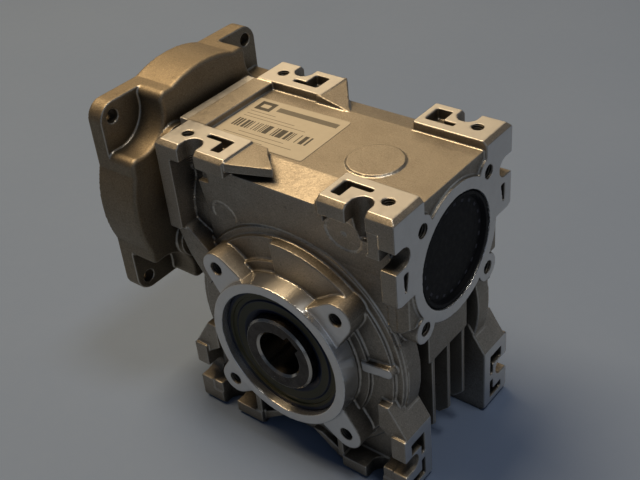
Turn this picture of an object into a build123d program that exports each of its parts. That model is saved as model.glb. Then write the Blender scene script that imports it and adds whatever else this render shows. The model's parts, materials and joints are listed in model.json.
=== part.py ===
from build123d import *
import math
import os

# Worm gearbox of 40 mm centre distance with a hollow output shaft and a square motor flange.
# Frame: millimetres, +Z up. The origin is on the output axis at the middle of the housing. The output
# axis is Y, and the plain housing side faces -Y. The worm axis is parallel to X, above the origin.

os.makedirs("parts", exist_ok=True)

# ---- driving dimensions -------------------------------------------------------------------------
CENTRE_DISTANCE = 40.0      # worm axis height above the output axis
BASE_Z = -50.0              # bottom mounting plane
TOP_Z = 71.5                # top mounting plane
END_X = 50.0                # machined end plane at the worm cap
PAD_Y = 35.0                # front and rear planes of the feet and top pads
PAD_INNER_Y = 18.5          # inner edge of the feet and top pads
PAD_INNER_LEFT = 18.5
PAD_INNER_RIGHT = 21.0
PLATE = 6.5                 # thickness of the pad plates
PAD_CHAMFER = 1.6
CROWN_Z = 68.2              # cast top between the pads
STRIP_Z = 71.0              # raised strip at the motor end
WALL_TOP_Y = 31.0           # cast wall between the pads, leaning in towards its foot
WALL_TOP_Z = 64.5
WALL_FOOT_Y = 27.2
WALL_FOOT_Z = 42.0
BODY_END_X = 53.5           # housing face at the motor flange
DISC_R = 47.0               # side discs of the wheel chamber
DISC_Y = 19.0
DISC_FACE_Y = 26.5          # joint face of the side cover
FRONT_DISC_Y = 28.4         # face of the disc on the plain side
FRONT_DISC_R = 46.0
DRUM_R = 40.0               # wheel chamber between the side discs
STEP_R = 43.0               # raised round step on each side
STEP_Y = 30.0

SPIGOT_R = 30.0             # machined register ring round the output shaft
SPIGOT_Y = 40.5
COLLAR_R = 34.0             # cast collar behind the register ring
COLLAR_Y = 31.6
RIM_WIDTH = 2.0             # raised rim and ribs on the round step
RIM_Y = 32.6
LUG_Y = 38.0                # machined face of the four output lugs
LUG_CIRCLE = 75.0           # pitch circle of the output lug holes
LUG_R = 6.4
LUG_ROOT_R = 26.0           # where the lug flanks start, and half their width there
LUG_ROOT_HALF = 9.0
LUG_HOLE_R = 2.5            # thread core on the plain side
COVER_LUG_HOLE_R = 2.7      # thread pitch radius on the cover side
LUG_HOLE_DEPTH = 11.0
SEAL_R = 26.0               # output seal seat
SEAL_INSET = 3.0
SEAL_WIDTH = 7.0

WORM_RING_R = 25.4          # machined ring round the worm cap
WORM_LOBE_CIRCLE = 56.0
WORM_LOBE_R = 5.4
WORM_HOLE_R = 2.5
FLANGE_SCREW_R = 2.1
FLANGE_CLEARANCE_R = 2.75
WORM_HOLE_DEPTH = 12.0
BARREL_R = 27.0             # outside of the cast worm tunnel
WORM_BORE_R = 21.0          # seats of the worm bearings, seal and cap

FOOT_HOLE_X = 42.0          # round holes in the pads
FOOT_HOLE_Y = 26.0
FOOT_HOLE_R = 2.1
BASE_HOLE_R = 2.5
SLOT_X = 35.5               # open slots in the pads
SLOT_TIP_Y = 27.0
SLOT_WIDTH = 7.5
SIDE_PLATE = 6.0            # thickness of the end plates of the pads

DISC_MARK_R = 9.8           # plain raised disc on the crown
DISC_MARK_PLACE = (22.0, -4.5)
LABEL_SIZE = (41.0, 29.5, 0.15)
LABEL_PLACE = (-20.2, -3.0)
LABEL_TURN = 1.5

FLANGE_FACE_X = -76.0       # motor face of the flange
FLANGE_PAD_X = -69.0        # back of the flange corners
FLANGE_HUB_X = -57.0        # back of the flange body
FLANGE_HALF = 41.0
FLANGE_BULGE_R = 44.0
FLANGE_CORNER_R = 7.0
FLANGE_HOLE_CIRCLE = 100.0
FLANGE_HOLE_R = 2.5
MOTOR_REGISTER_R = 40.0
MOTOR_REGISTER_DEPTH = 4.0
FLANGE_CUP_R = 34.5
FLANGE_CUP_FLOOR_X = -62.0
FLANGE_SCALLOP_R = 13.0     # hollows in the flange body round its corner holes

BORE_R = 9.0                # hollow output shaft
BORE_KEY_WIDTH = 6.0
BORE_KEY_TOP = 11.8         # keyway roof above the axis
KEYWAY_TURN = 42.0          # rest position of the output keyway
SHAFT_R = 15.0
WHEEL_SEAT_R = 24.0
SHAFT_END_Y = 40.0
INPUT_BORE_R = 4.5          # motor shaft bore in the worm shaft
INPUT_KEY_WIDTH = 3.0
INPUT_KEY_TOP = 5.9
INPUT_SHAFT_R = 10.0
INPUT_END_X = -71.0
INPUT_BORE_DEPTH = 17.0
SHAFT_GROOVE_R = 6.9        # circlip groove at the cap end of the worm shaft

MODULE = 2.0
WORM_STARTS = 2
WHEEL_TEETH = 30
WORM_PITCH_R = 10.0
WORM_TIP_R = WORM_PITCH_R + MODULE
WORM_ROOT_R = WORM_PITCH_R - 1.2 * MODULE
WHEEL_PITCH_R = CENTRE_DISTANCE - WORM_PITCH_R
WHEEL_OUTER_R = 33.0
WHEEL_HALF_WIDTH = 7.0
THREAD_HALF_LENGTH = 18.0
BACKLASH = 0.12
PRESSURE_ANGLE = math.radians(20)
LEAD = WORM_STARTS * math.pi * MODULE
CHAMBER_R = 35.5            # inside of the wheel chamber
CHAMBER_HALF_WIDTH = 16.5


class Bearing:
    """Deep groove ball bearing sizes."""

    def __init__(self, bore, outside, width, ball, balls):
        self.bore_r = bore / 2
        self.outer_r = outside / 2
        self.width = width
        self.ball_r = ball / 2
        self.balls = balls
        self.pitch_r = (bore + outside) / 4


OUTPUT_BEARING = Bearing(30.0, 55.0, 13.0, 7.144, 11)
DRIVE_END_BEARING = Bearing(20.0, 42.0, 12.0, 6.35, 9)
CAP_END_BEARING = Bearing(15.0, 42.0, 13.0, 7.938, 7)
OUTPUT_BEARING_OUT_Y = 30.5
WORM_RIGHT_SHOULDER_X = 28.0
WORM_LEFT_SHOULDER_X = -31.0
CIRCLIP_WIDTH = 1.75
CIRCLIP_GROOVE_R = 22.25
CAP_CIRCLIP_X = WORM_RIGHT_SHOULDER_X + CAP_END_BEARING.width
DRIVE_CIRCLIP_X = WORM_LEFT_SHOULDER_X - DRIVE_END_BEARING.width - CIRCLIP_WIDTH
INPUT_SEAL_X = -52.0        # outer face of the input seal
COVER_SCREW_CIRCLE = 79.2
COVER_SCREWS = 8
COVER_SEAT_R = 44.2         # machined seat of the side cover
O_RING_Y = 21.5
RUNNING_GAP = 0.05          # between a sealing lip and its shaft
GASKET_X = -54.0


# ---- helpers ------------------------------------------------------------------------------------
def block(x0, x1, y0, y1, z0, z1):
    return Pos((x0 + x1) / 2, (y0 + y1) / 2, (z0 + z1) / 2) * Box(abs(x1 - x0), abs(y1 - y0), abs(z1 - z0))


def cyl_x(radius, x0, x1, y=0.0, z=0.0):
    return Pos((x0 + x1) / 2, y, z) * Rot(0, 90, 0) * Cylinder(radius, abs(x1 - x0))


def cyl_y(radius, y0, y1, x=0.0, z=0.0):
    return Pos(x, (y0 + y1) / 2, z) * Rot(90, 0, 0) * Cylinder(radius, abs(y1 - y0))


def cyl_z(radius, z0, z1, x=0.0, y=0.0):
    return Pos(x, y, (z0 + z1) / 2) * Cylinder(radius, abs(z1 - z0))


def prism_x(points, x0, x1):
    """Polygon of (y, z) points carried along X."""
    face = Plane.YZ * make_face(Polyline(*points, close=True))
    return Pos(min(x0, x1), 0, 0) * extrude(face, abs(x1 - x0))


def prism_y(points, y0, y1):
    """Polygon of (x, z) points carried along Y."""
    face = Plane.XZ * make_face(Polyline(*points, close=True))
    return Pos(0, max(y0, y1), 0) * extrude(face, abs(y1 - y0))


def prism_z(points, z0, z1):
    """Polygon of (x, y) points carried along Z."""
    return Pos(0, 0, min(z0, z1)) * extrude(make_face(Polyline(*points, close=True)), abs(z1 - z0))


def ring_profile(points):
    """Polygon of (radius, axial) points turned once about Z."""
    return revolve(Plane.XZ * make_face(Polyline(*points, close=True)), Axis.Z)


def about_x(part, x=0.0, z=0.0):
    """A part made about Z, laid along +X."""
    return Pos(x, 0, z) * Rot(0, 90, 0) * part


def about_y(part, y=0.0):
    """A part made about Z, laid along +Y."""
    return Pos(0, y, 0) * Rot(-90, 0, 0) * part


def circle_places(count, radius, start):
    step = 360 / count
    return [(radius * math.cos(math.radians(start + step * i)),
             radius * math.sin(math.radians(start + step * i))) for i in range(count)]


LUG_PLACES = circle_places(4, LUG_CIRCLE / 2, 45)
WORM_LOBE_PLACES = circle_places(4, WORM_LOBE_CIRCLE / 2, 45)
FLANGE_PLACES = circle_places(4, FLANGE_HOLE_CIRCLE / 2, 45)
CORNERS = [(sx, sy) for sx in (-1, 1) for sy in (-1, 1)]


def sector(r0, r1, a0, a1, y0, y1):
    """Ring sector about Y between two angles, measured from +X towards +Z."""
    outer = 2 * r1
    steps = [a0, a0 + (a1 - a0) / 2, a1]
    wedge = [(0, 0)] + [(outer * math.cos(math.radians(a)), outer * math.sin(math.radians(a))) for a in steps]
    band = cyl_y(r1, y0, y1) - cyl_y(r0, y0 - 1, y1 + 1)
    return band & prism_y(wedge, y0, y1)


# ---- housing ------------------------------------------------------------------------------------
def pad_plate(sx, sy, z_face, up):
    """One corner pad: a plate in the mounting plane and an end plate square to it."""
    inner = PAD_INNER_LEFT if sx < 0 else PAD_INNER_RIGHT
    z_back = z_face - up * PLATE
    plate = block(sx * inner, sx * END_X, sy * PAD_INNER_Y, sy * PAD_Y, z_back, z_face)
    edges = [e for e in plate.edges() if abs(e.center().Z - z_face) < 0.01
             and (abs(e.center().X - sx * END_X) < 0.01 or abs(e.center().Y - sy * PAD_Y) < 0.01)]
    return chamfer(edges, PAD_CHAMFER)


def pad_cuts(sx, sy, z_face, up):
    """Slot, hole and pockets of one pad, seen square to the mounting plane."""
    z_in = z_face - up * (PLATE + 9.0)
    z_out = z_face + up
    slot = block(sx * (SLOT_X - SLOT_WIDTH / 2), sx * (SLOT_X + SLOT_WIDTH / 2),
                 sy * (SLOT_TIP_Y + SLOT_WIDTH / 2), sy * (PAD_Y + 1), z_in, z_out)
    slot += cyl_z(SLOT_WIDTH / 2, z_in, z_out, sx * SLOT_X, sy * (SLOT_TIP_Y + SLOT_WIDTH / 2))
    hole_r = FOOT_HOLE_R if up > 0 else BASE_HOLE_R
    hole = cyl_z(hole_r, z_face - up * 14, z_out, sx * FOOT_HOLE_X, sy * FOOT_HOLE_Y)
    pocket_z = z_face - up * 4.0
    leg = 27.2 if sy < 0 else 29.6
    pocket = block(sx * 23.5, sx * leg, sy * 22.5, sy * 30.6, pocket_z, z_out)
    pocket += block(sx * 23.5, sx * 34.6, sy * 22.5, sy * 24.4, pocket_z, z_out)
    return slot + hole + pocket


def end_plate(sx, sy, up):
    """End plate of one corner pad, with its own open slot and pockets."""
    face_z = TOP_Z if up > 0 else BASE_Z
    low = {(1, 1): 38.5, (-1, 1): 35.0}.get((sx, up), -20.7)
    y_in, y_out = sy * 21.0, sy * PAD_Y
    inner_x = sx * (END_X - SIDE_PLATE)
    if up > 0:
        outline = [(y_in, face_z - 5), (y_out, face_z - 5), (y_out, low + 1.0), (sy * 33.0, low),
                   (sy * 25.3, low), (y_in, low + 3.5)]
        plate = prism_x(outline, inner_x, sx * END_X)
    else:
        plate = block(inner_x, sx * END_X, sy * PAD_INNER_Y, y_out, face_z + 5, low)
    slot_z = face_z - up * 15.5
    slot_x = inner_x - sx * 0.3
    slot = block(slot_x, sx * (END_X + 1), sy * (SLOT_TIP_Y + SLOT_WIDTH / 2), sy * (PAD_Y + 1),
                 slot_z - SLOT_WIDTH / 2, slot_z + SLOT_WIDTH / 2)
    slot += cyl_x(SLOT_WIDTH / 2, slot_x, sx * (END_X + 1), sy * (SLOT_TIP_Y + SLOT_WIDTH / 2), slot_z)
    pocket_x = sx * (END_X - 4.0)
    if up > 0:
        pockets = prism_x([(sy * 28.2, 49.6), (sy * 30.8, 49.6), (sy * 30.6, 42.4), (sy * 29.6, 42.4)],
                          pocket_x, sx * (END_X + 1))
    else:
        pockets = block(pocket_x, sx * (END_X + 1), sy * 23.0, sy * 31.0, -30.0, -25.0)
        pockets += block(pocket_x, sx * (END_X + 1), sy * 23.0, sy * 25.0, -34.6, -25.0)
        pockets += block(pocket_x, sx * (END_X + 1), sy * 23.0, sy * 31.0, -46.0, -42.5)
        pockets += block(pocket_x, sx * (END_X + 1), sy * 23.0, sy * 25.0, -46.0, -37.6)
    return plate, slot + pockets


def foot_body(sx, sy):
    """Cast block that carries one bottom pad up to the side disc."""
    web = prism_y([(sx * 18.0, -28.0), (sx * 38.0, -20.0), (sx * 46.0, -14.0), (sx * 46.0, -44.5),
                   (sx * 18.0, -44.5)], sy * PAD_INNER_Y, sy * DISC_FACE_Y)
    shoulder = prism_y([(sx * 38.0, -9.0), (sx * 42.5, -9.0), (sx * END_X, -20.7), (sx * END_X, -24.0),
                        (sx * 43.5, -24.0), (sx * 38.0, -20.0)], sy * PAD_INNER_Y, sy * 33.5)
    corner = block(sx * 38.6, sx * (END_X - 1), sy * PAD_INNER_Y, sy * (PAD_Y - 0.6), -45.0, -38.8)
    rib = block(sx * 18.6, sx * 21.2, sy * 24.0, sy * (PAD_Y - 0.6), -45.0, -34.5)
    wing = prism_y([(sx * 19.0, BASE_Z + 1.5), (sx * 19.0, -44.0), (sx * 10.0, -39.0), (sx * 6.0, -39.0)],
                   sy * PAD_INNER_Y, sy * 33.0)
    return web + shoulder + corner + rib + wing


def output_side(sy):
    """Round step, collar, register ring and four lugs of one output side, as a solid form."""
    step = cyl_y(STEP_R, sy * 20.0, sy * STEP_Y)
    collar = cyl_y(COLLAR_R, sy * 20.0, sy * COLLAR_Y)
    ring = cyl_y(SPIGOT_R, sy * 20.0, sy * SPIGOT_Y)
    form = step + collar + ring
    for lug_x, lug_z in LUG_PLACES:
        form += cyl_y(LUG_R, sy * 22.0, sy * LUG_Y, lug_x, lug_z)
        angle = math.degrees(math.atan2(lug_z, lug_x))
        tip = LUG_CIRCLE / 2 + 1.0
        ear = prism_y([(LUG_ROOT_R, -LUG_ROOT_HALF), (tip, -LUG_R), (tip, LUG_R), (LUG_ROOT_R, LUG_ROOT_HALF)],
                      sy * 24.0, sy * LUG_Y)
        form += Rot(0, -angle, 0) * ear
    return form


def output_side_cuts(sy, lug_hole_r):
    """Seal seat, bearing seat and lug threads of one output side."""
    cuts = cyl_y(SEAL_R, sy * 20.0, sy * (SPIGOT_Y + 1))
    cuts += cyl_y(OUTPUT_BEARING.outer_r, sy * (CHAMBER_HALF_WIDTH - 1), sy * OUTPUT_BEARING_OUT_Y)
    for lug_x, lug_z in LUG_PLACES:
        cuts += cyl_y(lug_hole_r, sy * (LUG_Y - LUG_HOLE_DEPTH), sy * (LUG_Y + 1), lug_x, lug_z)
    return cuts


def side_relief(sy):
    """Raised rim and two radial ribs cast on the front of the round step."""
    back, front = sy * (STEP_Y - 1), sy * RIM_Y
    rims = sector(STEP_R - RIM_WIDTH, STEP_R, 44, 96, back, front)
    rims += sector(STEP_R - 2 * RIM_WIDTH, STEP_R, 88, 95, back, front)
    rims += sector(COLLAR_R - 1, STEP_R, 82, 86, back, front)
    half = 2.0
    bar = block(32.0, 42.5, back, front, -half, half) + cyl_y(half, back, front, 42.5, 0)
    return rims + Rot(0, -8, 0) * bar


def housing():
    half = [(PAD_INNER_Y + 0.5, CROWN_Z), (WALL_TOP_Y, WALL_TOP_Z), (WALL_FOOT_Y, WALL_FOOT_Z), (WALL_FOOT_Y, 19.0)]
    outline = half + [(-y, z) for y, z in reversed(half)]
    body = prism_x(outline, -47.0, END_X - 1.2)
    body &= prism_y([(-37.0, 75.0), (END_X, 75.0), (END_X, 25.0), (45.0, 21.0), (30.0, 19.0), (-33.0, 19.0),
                     (-37.0, 30.0)], -40, 40)
    body += prism_x([(-21, CROWN_Z), (21, CROWN_Z), (24, 60), (24, 24), (-24, 24), (-24, 60)], -48.0, -35.0)
    body += cyl_x(BARREL_R, -BODY_END_X, END_X - 1.2, 0, CENTRE_DISTANCE)
    body += block(-BODY_END_X, -41.3, -PAD_INNER_Y, PAD_INNER_Y, 55.0, STRIP_Z)
    body += cyl_y(DRUM_R, -DISC_Y, DISC_Y)
    body += cyl_y(DISC_R, -DISC_Y, -DISC_FACE_Y) + cyl_y(FRONT_DISC_R, -DISC_Y, -FRONT_DISC_Y)
    body += cyl_y(DISC_R, DISC_Y, DISC_FACE_Y)
    for fin_y in (-10.0, 0.0, 10.0):
        fin = prism_y([(25.0, 22.0), (46.0, 22.0), (46.0, -34.0), (42.0, -38.0), (20.0, -38.0)],
                      fin_y - 0.9, fin_y + 0.9)
        body += fin
        body += mirror(fin, Plane.YZ)
    body += block(30.0, 46.0, -12.5, 12.5, -3.0, 24.0)
    body += block(-46.0, -30.0, -12.5, 12.5, -3.0, 24.0)
    cuts = Part()
    for sx, sy in CORNERS:
        for face_z, up in ((TOP_Z, 1), (BASE_Z, -1)):
            body += pad_plate(sx, sy, face_z, up)
            plate, plate_cuts = end_plate(sx, sy, up)
            body += plate
            cuts += pad_cuts(sx, sy, face_z, up)
            if sx > 0 or up < 0:
                cuts += plate_cuts
        body += foot_body(sx, sy)
    for sy in (-1, 1):
        body += block(38.6, END_X - 1.0, sy * 22.0, sy * (PAD_Y - 0.4), 55.0, TOP_Z - 3)
        body += block(-END_X, -45.0, sy * 21.0, sy * PAD_Y, 35.0, TOP_Z - 5)
        body += prism_z([(22.5, sy * 18.5), (22.5, sy * 34.6), (17.0, sy * 31.0), (17.0, sy * 18.5)], 62.0, 66.8)
        body += prism_y([(-END_X, 37.0), (-45.0, 37.0), (-30.0, 24.0), (-37.0, 12.0), (-45.0, 24.0)],
                        sy * 22.0, sy * 33.0)
    body += prism_z([(-20, -18.5), (-20, -34.6), (-1.4, -28.4), (-8.8, -22.4), (-12, -18.5)], 67.2, 70.6)
    ramp = prism_y([(-20, 62), (-20, 71.2), (-18.5, 71.2), (-5.0, CROWN_Z), (-5.0, 62)], 18.0, PAD_Y)
    body += ramp & prism_z([(-20, 18.0), (-20, 34.6), (-18.5, 34.6), (-5.0, 18.0)], 60, 75)
    body += output_side(-1) + side_relief(-1)
    ring = cyl_x(WORM_RING_R, END_X - 2, END_X, 0, CENTRE_DISTANCE)
    for lobe_y, lobe_z in WORM_LOBE_PLACES:
        place = dict(y=lobe_y, z=CENTRE_DISTANCE + lobe_z)
        body += cyl_x(WORM_LOBE_R, END_X - 14, END_X, **place)
        body += cyl_x(WORM_LOBE_R + 0.8, -BODY_END_X, -40, **place)
        cuts += cyl_x(WORM_HOLE_R, END_X - WORM_HOLE_DEPTH, END_X + 1, **place)
        cuts += cyl_x(FLANGE_SCREW_R, -BODY_END_X - 1, -BODY_END_X + WORM_HOLE_DEPTH, **place)
    body += ring
    cuts += output_side_cuts(-1, LUG_HOLE_R)
    cuts += cyl_y(CHAMBER_R, -CHAMBER_HALF_WIDTH, DISC_FACE_Y + 1)
    cuts += cyl_y(COVER_SEAT_R, DISC_FACE_Y, PAD_Y + 1)
    cuts += cyl_x(WORM_BORE_R, WORM_RIGHT_SHOULDER_X, END_X + 1, 0, CENTRE_DISTANCE)
    cuts += cyl_x(WORM_BORE_R, -BODY_END_X - 1, WORM_LEFT_SHOULDER_X, 0, CENTRE_DISTANCE)
    cuts += cyl_x(14.5, -40, 40, 0, CENTRE_DISTANCE)
    cuts += cyl_x(CIRCLIP_GROOVE_R, CAP_CIRCLIP_X, CAP_CIRCLIP_X + CIRCLIP_WIDTH, 0, CENTRE_DISTANCE)
    cuts += cyl_x(CIRCLIP_GROOVE_R, DRIVE_CIRCLIP_X, DRIVE_CIRCLIP_X + CIRCLIP_WIDTH, 0, CENTRE_DISTANCE)
    for screw_x, screw_z in circle_places(COVER_SCREWS, COVER_SCREW_CIRCLE / 2, 22.5):
        cuts += cyl_y(2.0, DISC_FACE_Y - 7, DISC_FACE_Y + 1, screw_x, screw_z)
    body += cyl_z(DISC_MARK_R, CROWN_Z - 1, CROWN_Z + 0.8, *DISC_MARK_PLACE)
    return wall_marks(body - cuts)


def wall_marks(body):
    """Plain casting marks on the leaning front wall: a sunk round with a centre point, and a raised circle."""
    lean = math.degrees(math.atan2(WALL_TOP_Y - WALL_FOOT_Y, WALL_TOP_Z - WALL_FOOT_Z))

    def on_wall(part, x, z):
        wall_y = WALL_FOOT_Y + (WALL_TOP_Y - WALL_FOOT_Y) * (z - WALL_FOOT_Z) / (WALL_TOP_Z - WALL_FOOT_Z)
        return Pos(x, -wall_y, z) * Rot(90 + lean, 0, 0) * part

    body -= on_wall(cyl_z(7.2, -0.5, 3), 26.0, 55.4)
    body += on_wall(cyl_z(0.8, -1.0, 0.1), 26.0, 55.4)
    return body + on_wall(cyl_z(5.6, -1, 0.35) - cyl_z(5.0, -2, 1), -29.0, 43.2)


# ---- covers, flange and fasteners ---------------------------------------------------------------
def side_cover():
    """Bolted cover that closes the wheel chamber and carries the rear output bearing and seal."""
    form = output_side(1) + side_relief(1)
    form -= cyl_y(100, -50, DISC_FACE_Y)
    form += cyl_y(CHAMBER_R, CHAMBER_HALF_WIDTH, DISC_FACE_Y)
    form -= cyl_y(CHAMBER_R + 1, O_RING_Y - 1.2, O_RING_Y + 1.2) - cyl_y(CHAMBER_R - 1.8, 0, 40)
    for screw_x, screw_z in circle_places(COVER_SCREWS, COVER_SCREW_CIRCLE / 2, 22.5):
        form -= cyl_y(2.2, 20, COLLAR_Y + 1, screw_x, screw_z)
        form -= cyl_y(4.2, STEP_Y, COLLAR_Y + 1, screw_x, screw_z)
    return form - output_side_cuts(1, COVER_LUG_HOLE_R)


def side_cover_o_ring():
    return about_y(Torus(CHAMBER_R - 0.9, 0.9), O_RING_Y)


def socket_screw(shank_r, length, head_r, head_height, socket_width):
    """Screw about Z with the underside of its head at zero and its shank downwards."""
    screw = cyl_z(shank_r, -length, 0) + cyl_z(head_r, 0, head_height)
    edge = screw.edges().filter_by(GeomType.CIRCLE).sort_by(Axis.Z)[-1]
    screw = chamfer(edge, 0.35)
    socket = extrude(RegularPolygon(socket_width / 2, 6, major_radius=False), head_height * 0.6)
    return screw - Pos(0, 0, head_height * 0.4) * socket


def side_cover_screws():
    screw = Rot(-90, 0, 0) * socket_screw(2.0, 9.5, 3.6, 2.4, 2.5)
    return [Pos(x, STEP_Y, z) * screw for x, z in circle_places(COVER_SCREWS, COVER_SCREW_CIRCLE / 2, 22.5)]


def end_ring(x0, x1, lobe_r):
    """Round joint face with four screw lobes about the worm axis."""
    form = cyl_x(BARREL_R, x0, x1, 0, CENTRE_DISTANCE)
    for lobe_y, lobe_z in WORM_LOBE_PLACES:
        form += cyl_x(lobe_r, x0, x1, lobe_y, CENTRE_DISTANCE + lobe_z)
    return form


def end_ring_holes(x0, x1, radius):
    return [cyl_x(radius, x0, x1, y, CENTRE_DISTANCE + z) for y, z in WORM_LOBE_PLACES]


def motor_flange():
    square = fillet(Rectangle(2 * FLANGE_HALF, 2 * FLANGE_HALF).vertices(), FLANGE_CORNER_R)
    thin = extrude(square + Circle(FLANGE_BULGE_R), FLANGE_PAD_X - FLANGE_FACE_X)
    scallops = [Pos(x, y) * Circle(FLANGE_SCALLOP_R) for x, y in FLANGE_PLACES]
    hub_outline = Rectangle(2 * FLANGE_HALF, 2 * FLANGE_HALF) + Circle(FLANGE_BULGE_R) - scallops
    corners = [v for v in hub_outline.vertices() if max(abs(v.X), abs(v.Y)) > FLANGE_HALF - 0.01
               and min(abs(v.X), abs(v.Y)) > 20]
    hub_outline = fillet(corners, 3.0)
    hub = extrude(hub_outline, FLANGE_HUB_X - FLANGE_FACE_X)
    hub = fillet(hub.edges().group_by(Axis.Z)[-1], 1.5)
    form = Pos(FLANGE_FACE_X, 0, CENTRE_DISTANCE) * Rot(0, 90, 0) * (thin + hub)
    form += end_ring(FLANGE_HUB_X - 1, GASKET_X, 8.5)
    form += cyl_x(WORM_BORE_R, GASKET_X - 1, INPUT_SEAL_X - 0.5, 0, CENTRE_DISTANCE)
    cup_z = CENTRE_DISTANCE
    form -= cyl_x(MOTOR_REGISTER_R, FLANGE_FACE_X - 1, FLANGE_FACE_X + MOTOR_REGISTER_DEPTH, 0, cup_z)
    form -= cyl_x(FLANGE_CUP_R, FLANGE_FACE_X, FLANGE_CUP_FLOOR_X, 0, cup_z)
    form -= cyl_x(13.0, FLANGE_FACE_X, -40, 0, cup_z)
    for y, z in FLANGE_PLACES:
        form -= cyl_x(FLANGE_HOLE_R, FLANGE_FACE_X - 1, FLANGE_HUB_X, y, CENTRE_DISTANCE + z)
    return form - end_ring_holes(FLANGE_CUP_FLOOR_X - 1, GASKET_X + 1, FLANGE_CLEARANCE_R)


def flange_gasket():
    form = end_ring(GASKET_X, -BODY_END_X, 6.2) - cyl_x(WORM_BORE_R, -60, -50, 0, CENTRE_DISTANCE)
    return form - end_ring_holes(-60, -50, FLANGE_CLEARANCE_R)


def flange_screws():
    screw = Rot(0, -90, 0) * socket_screw(FLANGE_SCREW_R, 18.0, 4.25, 5.0, 4.0)
    return [Pos(FLANGE_CUP_FLOOR_X, y, CENTRE_DISTANCE + z) * screw for y, z in WORM_LOBE_PLACES]


def worm_end_cap():
    face_x = END_X - 0.4
    rim_r, width = 18.8, 6.6
    outline = [(0, -3.0), (rim_r - 1.2, -3.0), (rim_r - 1.2, -width), (WORM_BORE_R, -width), (WORM_BORE_R, -0.8),
               (WORM_BORE_R - 0.8, 0), (rim_r + 0.4, 0), (rim_r - 0.6, -1.4), (0, -1.4)]
    return about_x(ring_profile(outline), face_x, CENTRE_DISTANCE)


def circlip(inner_r, outer_r, width, gap_angle):
    """Open ring about Z with two lugs; the gap faces +X."""
    ring = cyl_z(outer_r, 0, width) - cyl_z(inner_r, -1, width + 1)
    reach = 2 * outer_r
    half = math.radians(gap_angle / 2)
    wedge = prism_z([(0, 0), (reach, reach * math.tan(half)), (reach, -reach * math.tan(half))], -1, width + 1)
    return ring - wedge


def cap_circlip():
    ring = circlip(18.6, CIRCLIP_GROOVE_R, CIRCLIP_WIDTH, 50)
    return about_x(ring, CAP_CIRCLIP_X, CENTRE_DISTANCE)


def drive_circlip():
    ring = circlip(18.6, CIRCLIP_GROOVE_R, CIRCLIP_WIDTH, 50)
    return about_x(ring, DRIVE_CIRCLIP_X, CENTRE_DISTANCE)


def shaft_circlip():
    return about_x(circlip(SHAFT_GROOVE_R, 9.4, 1.0, 60), CAP_CIRCLIP_X, CENTRE_DISTANCE)


def rating_label():
    plate = Box(*LABEL_SIZE)
    plate = fillet(plate.edges().filter_by(Axis.Z), 1.2)
    place = Pos(LABEL_PLACE[0], LABEL_PLACE[1], CROWN_Z + LABEL_SIZE[2] / 2)
    return place * Rot(0, 0, LABEL_TURN) * plate


# ---- bearings and seals -------------------------------------------------------------------------
def bearing_parts(bearing):
    """Outer race, inner race, balls and cage about Z, centred on zero."""
    groove_r = 1.04 * bearing.ball_r
    shoulder = 0.6 * bearing.ball_r
    running = 0.03
    half = bearing.width / 2

    def race(inner_r, outer_r, groove_centre):
        ring = cyl_z(outer_r, -half, half) - cyl_z(inner_r, -half - 1, half + 1)
        ring = chamfer(ring.edges().filter_by(GeomType.CIRCLE), 0.5)
        return ring - Torus(groove_centre, groove_r)

    offset = bearing.ball_r + running - groove_r
    outer = race(bearing.pitch_r + shoulder, bearing.outer_r, bearing.pitch_r + offset)
    inner = race(bearing.bore_r, bearing.pitch_r - shoulder, bearing.pitch_r - offset)
    places = circle_places(bearing.balls, bearing.pitch_r, 90)
    balls = [Pos(x, y, 0) * Sphere(bearing.ball_r) for x, y in places]
    cage_half = bearing.ball_r + 1.0
    cage = cyl_z(bearing.pitch_r + 1.0, -cage_half, cage_half)
    cage -= cyl_z(bearing.pitch_r - 1.0, -cage_half - 1, cage_half + 1)
    pocket = cyl_x(bearing.ball_r + 0.15, bearing.pitch_r - 4, bearing.pitch_r + 4)
    cage -= [Rot(0, 0, 90 + 360 / bearing.balls * i) * pocket for i in range(bearing.balls)]
    return {"outer_race": outer, "inner_race": inner, "balls": balls, "cage": cage}


def shaft_seal(shaft_r, outer_r, width):
    """Rotary seal about Z: its outer face is at zero and it reaches down to -width."""
    lip_r = shaft_r + RUNNING_GAP
    outline = [(outer_r, -width), (outer_r, -0.5), (outer_r - 0.5, 0), (outer_r - 2.6, 0),
               (outer_r - 2.9, -0.5), (outer_r - 4.6, -0.5), (outer_r - 5.0, -0.1), (lip_r + 2.2, -0.3),
               (lip_r + 0.6, -1.0), (lip_r, -1.5), (lip_r + 0.8, -2.3), (lip_r + 1.2, -3.4),
               (lip_r, -width + 1.9), (lip_r + 1.0, -width + 0.6), (lip_r + 2.2, -width + 0.6),
               (lip_r + 2.2, -width + 1.2), (lip_r + 1.4, -width + 1.8), (lip_r + 2.2, -width + 2.4),
               (lip_r + 2.6, -2.2), (outer_r - 1.6, -2.2), (outer_r - 1.6, -width)]
    return ring_profile(outline)


def garter_spring(shaft_r, width):
    return Pos(0, 0, -width + 1.5) * Torus(shaft_r + RUNNING_GAP + 2.75, 0.62)


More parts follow.
